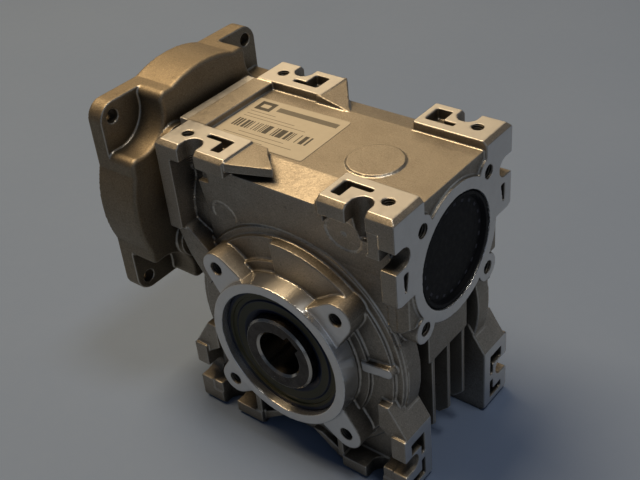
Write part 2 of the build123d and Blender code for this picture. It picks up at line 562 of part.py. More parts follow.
# ---- shafts and gears ---------------------------------------------------------------------------
def output_shaft():
    hub_r, hub_half = WHEEL_SEAT_R, WHEEL_HALF_WIDTH
    collar_r, collar_half = 18.5, OUTPUT_BEARING_OUT_Y - OUTPUT_BEARING.width
    edge = 0.8
    outline = [(BORE_R + edge, SHAFT_END_Y), (SHAFT_R - edge, SHAFT_END_Y), (SHAFT_R, SHAFT_END_Y - edge),
               (SHAFT_R, collar_half), (collar_r, collar_half), (collar_r, hub_half), (hub_r, hub_half)]
    outline += [(r, -y) for r, y in reversed(outline)]
    outline += [(BORE_R, -SHAFT_END_Y + edge), (BORE_R, SHAFT_END_Y - edge)]
    shaft = about_y(ring_profile(outline))
    keyway = block(-BORE_KEY_WIDTH / 2, BORE_KEY_WIDTH / 2, -50, 50, 0, BORE_KEY_TOP)
    return shaft - Rot(0, KEYWAY_TURN, 0) * keyway


def worm_wheel():
    """Bronze toothed rim, throated to the worm, with straight tooth spaces set at the lead angle."""
    rim = cyl_y(WHEEL_OUTER_R, -WHEEL_HALF_WIDTH, WHEEL_HALF_WIDTH)
    rim -= cyl_y(WHEEL_SEAT_R, -20, 20)
    rim -= about_y(Torus(CENTRE_DISTANCE, WORM_ROOT_R + 0.4))
    half_pitch = math.tan(math.pi / WHEEL_TEETH)
    flank = [(34.0, -0.1), (33.0, 0.25), (30.0, 1.30), (28.2, 1.70), (27.4, 1.90)]
    right = [(radius * half_pitch - tooth, radius) for radius, tooth in flank]
    outline = right + [(-x, z) for x, z in reversed(right)]
    lead_slope = LEAD / (2 * math.pi * WORM_PITCH_R)
    reach = WHEEL_HALF_WIDTH + 2
    face = Plane.XZ * make_face(Polyline(*outline, close=True))
    slot = extrude(Pos(-lead_slope * reach, -reach, 0) * face, 2 * reach * math.hypot(1, lead_slope),
                   dir=(lead_slope, 1, 0))
    return rim - [Rot(0, 360 / WHEEL_TEETH * i, 0) * slot for i in range(WHEEL_TEETH)]


def worm_threads():
    """Two helical threads about Z, trimmed to the worm's toothed length."""
    half_pitch = math.pi * MODULE / 4 - BACKLASH / 2
    slope = math.tan(PRESSURE_ANGLE)
    inner_r = WORM_ROOT_R - 0.4
    root_half = half_pitch + slope * (WORM_PITCH_R - inner_r)
    tip_half = half_pitch - slope * (WORM_TIP_R - WORM_PITCH_R)
    turns = 4
    start = -turns / 2 * LEAD
    outline = [(inner_r, start - root_half), (WORM_TIP_R, start - tip_half), (WORM_TIP_R, start + tip_half),
               (inner_r, start + root_half)]
    face = Plane.XZ * make_face(Polyline(*outline, close=True))
    path = Pos(0, 0, start) * Helix(LEAD, turns * LEAD, WORM_PITCH_R)
    thread = sweep(face, path=path, is_frenet=True)
    trim = cyl_z(WORM_TIP_R + 1, -THREAD_HALF_LENGTH, THREAD_HALF_LENGTH)
    return [trim & thread, trim & (Rot(0, 0, 180) * thread)]


def worm_shaft():
    shoulder_x, cap_x = WORM_LEFT_SHOULDER_X, CAP_CIRCLIP_X
    end_x = cap_x + 2.4
    cap_seat_r = CAP_END_BEARING.bore_r
    outline = [(0, INPUT_END_X), (INPUT_SHAFT_R - 0.6, INPUT_END_X), (INPUT_SHAFT_R, INPUT_END_X + 0.6),
               (INPUT_SHAFT_R, shoulder_x), (WORM_TIP_R, shoulder_x), (WORM_TIP_R, -24.0), (WORM_ROOT_R, -20.0),
               (WORM_ROOT_R, 20.0), (10.0, 22.0), (10.0, WORM_RIGHT_SHOULDER_X),
               (cap_seat_r, WORM_RIGHT_SHOULDER_X), (cap_seat_r, cap_x), (SHAFT_GROOVE_R, cap_x),
               (SHAFT_GROOVE_R, cap_x + 1.0), (cap_seat_r, cap_x + 1.0), (cap_seat_r, end_x - 0.4),
               (cap_seat_r - 0.4, end_x), (0, end_x)]
    shaft = ring_profile(outline) + worm_threads()
    bore = cyl_z(INPUT_BORE_R, INPUT_END_X - 1, INPUT_END_X + INPUT_BORE_DEPTH)
    keyway = block(0, INPUT_KEY_TOP, -INPUT_KEY_WIDTH / 2, INPUT_KEY_WIDTH / 2, INPUT_END_X - 1,
                   INPUT_END_X + INPUT_BORE_DEPTH - 3)
    return about_x(shaft - bore - keyway, 0, CENTRE_DISTANCE)


# ---- assembly -----------------------------------------------------------------------------------
def assembly():
    nodes = {
        "housing": housing(),
        "side_cover": side_cover(),
        "side_cover_o_ring": side_cover_o_ring(),
        "side_cover_screws": side_cover_screws(),
        "motor_flange": motor_flange(),
        "flange_gasket": flange_gasket(),
        "flange_screws": flange_screws(),
        "output_shaft": output_shaft(),
        "worm_wheel": worm_wheel(),
        "worm_shaft": worm_shaft(),
        "worm_end_cap": worm_end_cap(),
        "cap_end_circlip": cap_circlip(),
        "drive_end_circlip": drive_circlip(),
        "worm_shaft_circlip": shaft_circlip(),
        "rating_label": rating_label(),
    }
    output_y = OUTPUT_BEARING_OUT_Y - OUTPUT_BEARING.width / 2
    drive_x = WORM_LEFT_SHOULDER_X - DRIVE_END_BEARING.width / 2
    cap_x = WORM_RIGHT_SHOULDER_X + CAP_END_BEARING.width / 2
    bearings = {
        "front_bearing": (OUTPUT_BEARING, lambda part: about_y(part, -output_y)),
        "rear_bearing": (OUTPUT_BEARING, lambda part: about_y(part, output_y)),
        "drive_end_bearing": (DRIVE_END_BEARING, lambda part: about_x(part, drive_x, CENTRE_DISTANCE)),
        "cap_end_bearing": (CAP_END_BEARING, lambda part: about_x(part, cap_x, CENTRE_DISTANCE)),
    }
    for bearing_name, (bearing, place) in bearings.items():
        for piece_name, piece in bearing_parts(bearing).items():
            solids = piece if isinstance(piece, list) else [piece]
            nodes[bearing_name + "_" + piece_name] = [place(solid) for solid in solids]
    seal_face_y = SPIGOT_Y - SEAL_INSET
    output_seal = shaft_seal(SHAFT_R, SEAL_R, SEAL_WIDTH)
    output_spring = garter_spring(SHAFT_R, SEAL_WIDTH)
    for side_name, turn, face_y in (("front", 90, -seal_face_y), ("rear", -90, seal_face_y)):
        place = Pos(0, face_y, 0) * Rot(turn, 0, 0)
        nodes[side_name + "_output_seal"] = place * output_seal
        nodes[side_name + "_seal_spring"] = place * output_spring
    place = Pos(INPUT_SEAL_X, 0, CENTRE_DISTANCE) * Rot(0, -90, 0)
    nodes["input_seal"] = place * shaft_seal(INPUT_SHAFT_R, WORM_BORE_R, SEAL_WIDTH)
    nodes["input_seal_spring"] = place * garter_spring(INPUT_SHAFT_R, SEAL_WIDTH)
    return nodes


for node_name, node in assembly().items():
    shapes = node if isinstance(node, list) else [node]
    solids = [solid for shape in shapes for solid in shape.solids()]
    group = solids[0] if len(solids) == 1 else Compound(children=solids)
    group.label = node_name
    export_step(group, "parts/" + node_name + ".step")
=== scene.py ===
import json
import math

import bpy
import numpy as np
from mathutils import Matrix, Vector


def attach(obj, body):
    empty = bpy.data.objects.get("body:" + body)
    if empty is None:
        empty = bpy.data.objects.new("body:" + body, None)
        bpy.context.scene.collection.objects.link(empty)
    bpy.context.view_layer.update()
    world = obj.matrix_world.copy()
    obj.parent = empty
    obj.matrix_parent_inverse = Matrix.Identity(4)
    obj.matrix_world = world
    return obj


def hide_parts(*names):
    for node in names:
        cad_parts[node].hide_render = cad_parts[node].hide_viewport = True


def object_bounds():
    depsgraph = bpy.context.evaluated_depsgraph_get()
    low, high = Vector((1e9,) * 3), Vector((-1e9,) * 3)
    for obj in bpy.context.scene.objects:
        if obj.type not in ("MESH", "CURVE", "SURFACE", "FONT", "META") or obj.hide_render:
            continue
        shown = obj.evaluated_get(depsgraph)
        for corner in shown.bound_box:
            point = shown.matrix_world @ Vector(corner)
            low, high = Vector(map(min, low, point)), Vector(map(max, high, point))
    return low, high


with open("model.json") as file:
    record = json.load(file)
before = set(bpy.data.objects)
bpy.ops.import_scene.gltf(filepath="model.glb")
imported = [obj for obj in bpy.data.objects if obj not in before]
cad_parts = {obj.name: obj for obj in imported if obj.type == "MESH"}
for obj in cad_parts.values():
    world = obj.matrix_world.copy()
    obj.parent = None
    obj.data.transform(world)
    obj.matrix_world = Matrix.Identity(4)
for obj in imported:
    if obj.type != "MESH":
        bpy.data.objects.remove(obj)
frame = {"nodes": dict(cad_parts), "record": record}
cad_box = [list(corner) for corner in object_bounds()]
scene = bpy.context.scene
MM = 0.001

# ---- shared sizes, in millimetres, as in the CAD ------------------------------------------------
WORM_Z = 40.0
WORM_AXIS = ("x", (0, WORM_Z))
OUTPUT_AXIS = ("y", (0, 0))
TOP_Z, BASE_Z, END_X, LUG_FACE_Y, FLANGE_FACE_X = 71.5, -50.0, 50.0, 38.0, -76.0
RING_R, SEAT_R = 30.0, 26.0
TUNNEL_R = 21.0             # bore of the worm tunnel
REGISTER_R = 40.0           # motor register
LUG = 37.5 * math.sqrt(0.5)
LOBE = 28.0 * math.sqrt(0.5)
LUG_HOLE_R, LOBE_HOLE_R, PAD_HOLE_R = 2.5, 2.5, 2.1
PAD_HOLE = (42, 26)
CAP_TICK_R = 16.9
LABEL_CENTRE = (-20.2, -3.0)
LABEL_TURN = math.radians(1.5)
BAR_LEAN = math.radians(8)  # tilt of the short cast bar beside the ring
BAR_HALF, BAR_START_X, BAR_FACE_Y = 2.2, 31.0, 32.1

# ---- surface and skin settings, in millimetres --------------------------------------------------
SKIN_VOXEL = 0.42           # grid used to round the edges of the castings
SKIN_PASSES = 3             # smoothing passes that give the edge radius
SNAP_NEAR = 0.05            # skin points this near the CAD surface go back onto it
SNAP_FAR = 0.10             # and those beyond this keep their place
SKIN_TRIANGLES = 190_000
ROUND_REACH = 0.06          # points this near a listed cylinder move onto it
EDGE_REACH = 0.15           # rounding at which an edge gets the full wear and painted highlight
FACE_DEPTH = 0.08           # a machined face still counts this far below its plane
FACE_BLUR = 0.02            # half width of the line between cast skin and machined face
THREAD_PITCH = 0.95
TOOL_PITCH = 0.30           # turning marks on the castings
STEEL_TOOL_PITCH = 0.22     # turning marks on steel
SHADE_AND_DIRT_REACH = 8.0            # how far from a corner the painted shade and dirt reach
FLOOR_HALF = 1600.0

# Cylinders of the castings that stay exactly round: axis, centre, radius, and reach along the axis.
SIDE_ROUNDS = [("y", (0, 0), r, 19.5, 41) for r in (SEAT_R, RING_R, 34.0, 39.0, 41.0, 43.0, 46.0, 47.0)]
SIDE_ROUNDS += [("y", (0, 0), 40.0, -19, 19)]
SIDE_ROUNDS += [("y", (sx * LUG, sz * LUG), r, 25, 41) for sx in (-1, 1) for sz in (-1, 1)
                for r in (LUG_HOLE_R, 2.7, 6.4)]
END_ROUNDS = [("x", (0, WORM_Z), r, -54, 51) for r in (TUNNEL_R, 25.4, 27.0)]
END_ROUNDS += [("x", (sy * LOBE, WORM_Z + sz * LOBE), r, 35, 51) for sy in (-1, 1) for sz in (-1, 1)
               for r in (LOBE_HOLE_R, 5.4)]
FLANGE_ROUNDS = [("x", (0, WORM_Z), r, -77, -50) for r in (13.0, TUNNEL_R, 27.0, 34.5, REGISTER_R, 44.0)]


# ---- shader helper ------------------------------------------------------------------------------
class Graph:
    """Builds the node tree of one material."""

    def __init__(self, name):
        self.material = bpy.data.materials.new(name)
        self.material.use_nodes = True
        self.tree = self.material.node_tree
        self.tree.nodes.clear()
        self.shader = self.add("ShaderNodeBsdfPrincipled")
        output = self.add("ShaderNodeOutputMaterial")
        self.tree.links.new(self.shader.outputs[0], output.inputs["Surface"])
        self.place = self.add("ShaderNodeTexCoord").outputs["Object"]
        self.x, self.y, self.z = self.add("ShaderNodeSeparateXYZ", Vector=self.place).outputs

    def add(self, kind, **inputs):
        node = self.tree.nodes.new(kind)
        for name, value in inputs.items():
            self.put(node.inputs[name.replace("_", " ")], value)
        return node

    def put(self, socket, value):
        if isinstance(value, bpy.types.NodeSocket):
            self.tree.links.new(value, socket)
        else:
            socket.default_value = value

    def math(self, operation, a, b=0.0):
        node = self.add("ShaderNodeMath")
        node.operation = operation
        for socket, value in zip(node.inputs, (a, b)):
            self.put(socket, value)
        return node.outputs[0]

    def product(self, *factors):
        total = factors[0]
        for factor in factors[1:]:
            total = self.math("MULTIPLY", total, factor)
        return total

    def vector(self, operation, *values):
        node = self.add("ShaderNodeVectorMath")
        node.operation = operation
        for socket, value in zip(node.inputs, values):
            self.put(socket, value)
        return node.outputs[0]

    def step(self, value, start, end):
        """0 up to start, 1 from end on, and smooth between."""
        node = self.add("ShaderNodeMapRange", Value=value)
        node.interpolation_type = "SMOOTHSTEP"
        node.inputs["From Min"].default_value = start
        node.inputs["From Max"].default_value = end
        return node.outputs["Result"]

    def remap(self, value, a0, a1, b0, b1):
        node = self.add("ShaderNodeMapRange", Value=value)
        for name, number in (("From Min", a0), ("From Max", a1), ("To Min", b0), ("To Max", b1)):
            node.inputs[name].default_value = number
        return node.outputs["Result"]

    def noise(self, size_mm, detail=3.0, roughness=0.55):
        """Noise whose features are about size_mm wide."""
        node = self.add("ShaderNodeTexNoise", Vector=self.place, Scale=1000.0 / size_mm, Detail=detail,
                        Roughness=roughness)
        return node.outputs["Fac"]

    def mix(self, factor, a, b):
        node = self.add("ShaderNodeMix")
        node.data_type = "RGBA"
        self.put(node.inputs["Factor"], factor)
        self.put(node.inputs[6], a if isinstance(a, bpy.types.NodeSocket) else (*a, 1))
        self.put(node.inputs[7], b if isinstance(b, bpy.types.NodeSocket) else (*b, 1))
        return node.outputs[2]

    def blend(self, factor, a, b):
        node = self.add("ShaderNodeMix")
        for socket, value in zip(node.inputs[:4], (factor, None, a, b)):
            if value is not None:
                self.put(socket, value)
        return node.outputs[0]

    def bump(self, height, depth_mm, normal=None):
        node = self.add("ShaderNodeBump", Height=height, Distance=depth_mm * MM)
        if normal is not None:
            self.put(node.inputs["Normal"], normal)
        return node.outputs[0]

    def offsets(self, axis, centre):
        """Place in metres across an axis through centre (in millimetres), as two numbers."""
        a, b = {"y": (self.x, self.z), "x": (self.y, self.z)}[axis]
        return self.math("SUBTRACT", a, centre[0] * MM), self.math("SUBTRACT", b, centre[1] * MM)

    def length(self, a, b):
        return self.math("SQRT", self.math("ADD", self.product(a, a), self.product(b, b)))

    def radius(self, axis, centre):
        """Distance in metres from an axis through centre (in millimetres)."""
        return self.length(*self.offsets(axis, centre))

    def grooves(self, axis, centre, amount):
        """Brushed reflections of turning marks round an axis; amount is their strength, from 0 to 1."""
        du, dv = self.offsets(axis, centre)
        back = self.product(du, -1.0)
        around = {"y": (dv, 0.0, back), "x": (0.0, dv, back)}[axis]
        along = self.add("ShaderNodeCombineXYZ")
        for socket, value in zip(along.inputs, around):
            self.put(socket, value)
        facing = self.add("ShaderNodeNewGeometry").outputs["Normal"]
        across = self.vector("CROSS_PRODUCT", facing, along.outputs[0])
        self.put(self.shader.inputs["Tangent"], self.vector("NORMALIZE", across))
        self.put(self.shader.inputs["Anisotropic"], self.product(amount, 0.9))

    def near(self, value, target_mm, width_mm):
        """1 where value is within width_mm of target_mm."""
        gap = self.math("ABSOLUTE", self.math("SUBTRACT", value, target_mm * MM))
        return self.step(gap, width_mm * MM * 1.3, width_mm * MM)

    def past(self, value, limit_mm):
        """1 where value is beyond limit_mm, counted away from zero."""
        sign = 1 if limit_mm > 0 else -1
        edge = abs(limit_mm) * MM
        return self.step(self.product(value, float(sign)), edge - FACE_BLUR * MM, edge + FACE_BLUR * MM)

    def any_of(self, masks):
        total = masks[0]
        for mask in masks[1:]:
            total = self.math("MAXIMUM", total, mask)
        return total

    def finish(self, color=None, roughness=None, normal=None, metallic=0.0, **fixed):
        for name, value in (("Base Color", color), ("Roughness", roughness), ("Normal", normal),
                            ("Metallic", metallic)):
            if value is not None:
                self.put(self.shader.inputs[name], (*value, 1) if isinstance(value, tuple) else value)
        for name, value in fixed.items():
            self.shader.inputs[name.replace("_", " ")].default_value = value
        return self.material


def scaled(color, share):
    """The colour times share: darker below 1, lighter above."""
    return tuple(share * channel for channel in color)


# ---- castings -----------------------------------------------------------------------------------
def casting(name, raw, deep, masks):
    """Sand-fine cast aluminium; masks(graph) gives its machined and its turned places, from 0 to 1.

    The grooves of every turned place run round the output axis, those of the worm tunnel too.
    """
    g = Graph(name)
    machined, turned = masks(g)
    g.grooves(*OUTPUT_AXIS, turned)
    edge = g.add("ShaderNodeAttribute")
    edge.attribute_name = "edge"
    edge_wear_and_highlight = g.step(edge.outputs["Fac"], 0.15, 0.8)
    grain = g.noise(0.48, 3.0, roughness=0.65)
    fine = g.noise(0.20, 2.0)
    patch = g.noise(9.0, 4.0)
    stain = g.noise(2.6, 5.0, roughness=0.7)
    color = g.mix(g.remap(patch, 0.3, 0.7, 0.25, 0.75), raw, deep)
    color = g.mix(g.product(g.step(grain, 0.52, 0.68), 0.45), color, scaled(raw, 1.45))
    color = g.mix(g.product(g.step(grain, 0.46, 0.34), 0.50), color, scaled(deep, 0.55))
    color = g.mix(g.product(g.step(stain, 0.62, 0.74), 0.65), color, scaled(deep, 0.50))
    # Wear and painted highlight: rounded edges get a lighter colour, standing in for the highlights on
    # glossy edges as well as for rubbed metal.
    color = g.mix(g.product(edge_wear_and_highlight, 0.50), color, (0.66, 0.63, 0.57))
    tool = g.noise(0.10, 2.0)
    face = g.mix(g.noise(5.0, 3.0), (0.58, 0.57, 0.56), (0.66, 0.655, 0.64))
    face = g.mix(g.product(g.step(tool, 0.55, 0.8), 0.3), face, (0.46, 0.47, 0.49))
    # Painted shade, partly dirt: ambient occlusion darkens the colour in corners and recesses.
    gap = g.add("ShaderNodeAmbientOcclusion", Distance=SHADE_AND_DIRT_REACH * MM)
    gap.samples = 6
    dirt = g.step(gap.outputs["AO"], 0.90, 0.38)
    color = g.mix(g.product(dirt, 0.82), color, scaled(deep, 0.25))
    color = g.mix(machined, color, face)
    raw_rough = g.blend(edge_wear_and_highlight, g.remap(g.noise(1.3, 3.0), 0.3, 0.7, 0.46, 0.60), 0.30)
    rough = g.blend(machined, raw_rough, g.remap(g.noise(2.0, 2.0), 0.3, 0.7, 0.36, 0.46))
    rough = g.blend(turned, rough, 0.25)
    height = g.math("ADD", g.product(grain, 0.65), g.product(fine, 0.35))
    soft = g.math("SUBTRACT", 1.0, g.product(machined, 0.96))
    normal = g.bump(g.product(height, soft), 0.11)
    normal = g.bump(g.product(patch, soft), 0.15, normal)
    rings = g.math("SINE", g.product(g.radius(*OUTPUT_AXIS), 2 * math.pi / (TOOL_PITCH * MM)))
    normal = g.bump(g.product(rings, tool, machined), 0.004, normal)
    for thread in screw_threads(g):
        normal = g.bump(thread, 0.16, normal)
    return g.finish(color, rough, normal, 0.92)


def screw_threads(g):
    """Thread grooves on the walls of the tapped holes: lugs, worm end and pads."""
    up = g.math("SUBTRACT", g.z, WORM_Z * MM)
    holes = ((g.y, (g.x, g.z), (LUG, LUG), LUG_HOLE_R),
             (g.x, (g.y, up), (LOBE, LOBE), LOBE_HOLE_R),
             (g.z, (g.x, g.y), PAD_HOLE, PAD_HOLE_R))
    waves = []
    for along, (a, b), (a0, b0), radius in holes:
        da = g.math("SUBTRACT", g.math("ABSOLUTE", a), a0 * MM)
        db = g.math("SUBTRACT", g.math("ABSOLUTE", b), b0 * MM)
        turns = g.product(along, 2 * math.pi / (THREAD_PITCH * MM))
        phase = g.math("ADD", turns, g.math("ARCTAN2", da, db))
        waves.append(g.product(g.math("SINE", phase), g.near(g.length(da, db), radius, 0.25)))
    return waves


def housing_masks(g):
    """Machined and turned places of the housing and the side cover, from 0 to 1."""
    out = g.radius(*OUTPUT_AXIS)
    side = g.math("ABSOLUTE", g.y)
    end = g.math("ABSOLUTE", g.x)
    outside = g.past(side, 32.8)
    ring = g.product(g.near(out, RING_R, 0.12), outside)
    seat = g.product(g.near(out, SEAT_R, 0.12), outside)
    turned = g.any_of([ring, seat, g.near(g.radius(*WORM_AXIS), TUNNEL_R, 0.12)])
    flats = [g.past(g.z, TOP_Z - FACE_DEPTH), g.past(g.z, BASE_Z + FACE_DEPTH),
             g.past(end, END_X - FACE_DEPTH), g.past(side, LUG_FACE_Y - FACE_DEPTH)]
    rise = g.product(g.z, math.cos(BAR_LEAN))
    fall = g.product(g.x, math.sin(BAR_LEAN))
    across = g.math("ABSOLUTE", g.math("SUBTRACT", rise, fall))
    on_bar = g.step(across, (BAR_HALF + 0.1) * MM, (BAR_HALF - 0.1) * MM)
    bar = g.product(on_bar, g.past(g.x, BAR_START_X), g.past(side, BAR_FACE_Y), 0.9)
    return g.any_of([*flats, turned, bar]), turned


def flange_masks(g):
    """Machined and turned places of the motor flange, from 0 to 1."""
    worm = g.radius(*WORM_AXIS)
    register = g.product(g.near(worm, REGISTER_R, 0.1), g.past(g.x, FLANGE_FACE_X + 4.2))
    turned = g.any_of([register, g.near(worm, TUNNEL_R, 0.1)])
    return g.math("MAXIMUM", g.past(g.x, FLANGE_FACE_X + FACE_DEPTH), turned), turned


# ---- steel, rubber and print --------------------------------------------------------------------
def steel(name, base, dark, rough, axis=None, centre=(0, 0), scratch=0.003, metallic=1.0, painted_highlight_rings=()):
    """Machined steel; with an axis, fine turning marks run round it.

    The rings given last, as (radius, half width), get a painted highlight: a lighter colour and a lower
    roughness.
    """
    g = Graph(name)
    smear = g.noise(3.0, 4.0)
    fine = g.noise(0.12, 3.0)
    color = g.mix(g.step(smear, 0.3, 0.75), base, dark)
    color = g.mix(g.product(g.step(fine, 0.58, 0.78), 0.35), color, scaled(dark, 0.6))
    marks = fine
    if axis:
        along = {"y": g.y, "x": g.x}[axis]
        both = g.math("ADD", g.radius(axis, centre), along)
        wave = g.math("SINE", g.product(both, 2 * math.pi / (STEEL_TOOL_PITCH * MM)))
        marks = g.product(wave, g.remap(fine, 0.2, 0.8, 0.3, 1.0))
        g.grooves(axis, centre, 0.8)
    roughness = g.remap(g.noise(1.4, 3.0), 0.3, 0.7, rough * 0.8, rough * 1.3)
    for middle, half in painted_highlight_rings:
        ring = g.near(g.radius(axis, centre), middle, half)
        # Painted highlight: the ring is lightened as if it caught the light.
        color = g.mix(g.product(ring, 0.7), color, (0.62, 0.58, 0.52))
        roughness = g.blend(ring, roughness, 0.18)
    return g.finish(color, roughness, g.bump(marks, scratch), metallic)


def rubber(name, base, dust, rough, bands=(), ticks=0, gloss=0.2):
    """Moulded rubber.

    bands are (radius, half width, colour) rings round the output axis, and ticks is a number of short
    marks round the worm axis.
    """
    g = Graph(name)
    dirt = g.noise(1.8, 4.0, roughness=0.7)
    color = g.mix(g.product(g.step(dirt, 0.5, 0.75), 0.5), base, dust)
    for middle, half, tint in bands:
        color = g.mix(g.product(g.near(g.radius(*OUTPUT_AXIS), middle, half), 0.8), color, tint)
    if ticks:
        around = g.math("ARCTAN2", g.y, g.math("SUBTRACT", g.z, WORM_Z * MM))
        dash = g.step(g.math("SINE", g.product(around, float(ticks))), 0.45, 0.65)
        dash = g.product(dash, g.near(g.radius(*WORM_AXIS), CAP_TICK_R, 0.45))
        color = g.mix(g.product(dash, 0.8), color, scaled(dust, 7.0))
    roughness = g.remap(dirt, 0.3, 0.7, rough * 0.85, rough * 1.2)
    normal = g.bump(g.noise(0.25, 2.0), 0.010)
    return g.finish(color, roughness, normal, 0.0, Specular_IOR_Level=gloss)


# Places on the label as (left, right, bottom, top) from its centre.
LABEL_BARS = (-17.5, 15.5, -6.0, -0.6)
LABEL_SQUARE = (-17.5, -10.5, 7.0, 13.0)
LABEL_SQUARE_HOLE = (-15.8, -12.2, 8.8, 11.2)
LABEL_EDGE = (-20.2, 20.2, -14.4, 14.4)
LABEL_RULES = ((-8.5, 18.0, 8.6, 11.4),
               (-17.5, -6, 5.2, 5.5),
               (-17.5, 4, 3.2, 3.5),
               (-17.5, 10, 1.4, 1.7),
               (-12, 8, -8.4, -8.1),
               (-17, 13, -10.6, -10.3),
               (-17, 2, -12.6, -12.3))
BAR_CELL = 0.42             # width of the narrowest bar
INK_BLUR = 0.04


def label_print():
    """Cream foil with a plain square, plain bars and thin rules, and no lettering."""
    g = Graph("label_print")
    turn = g.add("ShaderNodeVectorRotate", Vector=g.place)
    turn.rotation_type = "Z_AXIS"
    turn.inputs["Center"].default_value = (LABEL_CENTRE[0] * MM, LABEL_CENTRE[1] * MM, 0)
    turn.inputs["Angle"].default_value = -LABEL_TURN
    parts = g.add("ShaderNodeSeparateXYZ", Vector=turn.outputs[0]).outputs
    u = g.math("SUBTRACT", parts[0], LABEL_CENTRE[0] * MM)
    v = g.math("SUBTRACT", parts[1], LABEL_CENTRE[1] * MM)

    def within(value, low, high):
        return g.product(g.step(value, (low - INK_BLUR) * MM, (low + INK_BLUR) * MM),
                         g.step(value, (high + INK_BLUR) * MM, (high - INK_BLUR) * MM))

    def patch(u0, u1, v0, v1):
        return g.product(within(u, u0, u1), within(v, v0, v1))

    cells = g.add("ShaderNodeTexWhiteNoise")
    cells.noise_dimensions = "1D"
    g.put(cells.inputs["W"], g.math("FLOOR", g.math("DIVIDE", u, BAR_CELL * MM)))
    bars = g.product(g.math("GREATER_THAN", cells.outputs["Value"], 0.45), patch(*LABEL_BARS))
    square = g.math("SUBTRACT", patch(*LABEL_SQUARE), patch(*LABEL_SQUARE_HOLE))
    rules = [g.product(patch(*rule), 0.8) for rule in LABEL_RULES]
    ink = g.any_of([bars, square, *rules])
    paper = g.mix(g.noise(3.0, 4.0), (0.43, 0.39, 0.31), (0.37, 0.33, 0.26))
    rim = g.math("SUBTRACT", 1.0, patch(*LABEL_EDGE))
    color = g.mix(g.product(rim, 0.35), paper, (0.32, 0.29, 0.24))
    color = g.mix(g.product(ink, 0.96), color, (0.012, 0.011, 0.010))
    roughness = g.remap(g.noise(1.0, 3.0), 0.3, 0.7, 0.34, 0.46)
    return g.finish(color, roughness, g.bump(g.noise(0.6, 2.0), 0.006), 0.0)


# Tinted rings on the seal, as radius, half width and colour, and rings on the shaft chamfers with a
# painted highlight.
SEAL_BANDS = ((23.0, 1.2, (0.060, 0.054, 0.016)), (19.2, 1.3, (0.050, 0.046, 0.015)))
SHAFT_PAINTED_HIGHLIGHTS = ((14.55, 0.35), (9.35, 0.4))
MATERIALS = {
    "cast_aluminium": casting("cast_aluminium", (0.36, 0.325, 0.275), (0.26, 0.23, 0.19), housing_masks),
    "cast_cover": casting("cast_cover", (0.35, 0.315, 0.27), (0.25, 0.225, 0.19), housing_masks),
    "cast_flange": casting("cast_flange", (0.26, 0.218, 0.160), (0.19, 0.156, 0.110), flange_masks),
    "zinc_steel": steel("zinc_steel", (0.62, 0.63, 0.66), (0.48, 0.49, 0.53), 0.30),
    "black_steel": steel("black_steel", (0.060, 0.060, 0.065), (0.035, 0.035, 0.04), 0.38, metallic=0.7),
    "gasket": rubber("gasket", (0.16, 0.17, 0.16), (0.24, 0.24, 0.22), 0.75),
    "shaft_steel": steel("shaft_steel", (0.060, 0.053, 0.048), (0.034, 0.029, 0.026), 0.30, "y",
                         scratch=0.006, painted_highlight_rings=SHAFT_PAINTED_HIGHLIGHTS),
    "worm_steel": steel("worm_steel", (0.50, 0.50, 0.52), (0.36, 0.36, 0.39), 0.26, *WORM_AXIS),
    "bronze": steel("bronze", (0.66, 0.43, 0.18), (0.50, 0.30, 0.12), 0.32, "y"),
    "bearing_steel": steel("bearing_steel", (0.62, 0.63, 0.65), (0.50, 0.51, 0.54), 0.20, "y",
                           scratch=0.002),
    "ball_steel": steel("ball_steel", (0.78, 0.79, 0.81), (0.68, 0.69, 0.72), 0.10, scratch=0.0006),
    "cage_steel": steel("cage_steel", (0.52, 0.50, 0.47), (0.38, 0.36, 0.33), 0.34),
    "seal_rubber": rubber("seal_rubber", (0.006, 0.011, 0.030), (0.018, 0.024, 0.040), 0.36, SEAL_BANDS),
    "cap_rubber": rubber("cap_rubber", (0.004, 0.004, 0.005), (0.008, 0.008, 0.010), 0.50,
                         ticks=22, gloss=0.1),
    "label": label_print(),
}


# ---- skins of the castings ----------------------------------------------------------------------
def evaluated(obj):
    graph = bpy.context.evaluated_depsgraph_get()
    return bpy.data.meshes.new_from_object(obj.evaluated_get(graph))


def points_of(mesh):
    flat = np.empty(len(mesh.vertices) * 3, np.float32)
    mesh.vertices.foreach_get("co", flat)
    return flat.reshape(-1, 3).astype(np.float64)


def make_round(points, rounds):
    """Moves points that lie on a listed cylinder to its exact radius."""
    for axis, (c0, c1), radius, low, high in rounds:
        along, first, second = {"y": (1, 0, 2), "x": (0, 1, 2)}[axis]
        offset = points[:, (first, second)] - np.array((c0, c1)) * MM
        distance = np.hypot(offset[:, 0], offset[:, 1])
        place = np.abs(points[:, along]) if axis == "y" else points[:, along]
        on_wall = np.abs(distance - radius * MM) < ROUND_REACH * MM
        chosen = on_wall & (place > low * MM) & (place < high * MM)
        scale = (radius * MM / distance[chosen])[:, None]
        rows = np.ix_(chosen.nonzero()[0], (first, second))
        points[rows] = np.array((c0, c1)) * MM + offset[chosen] * scale


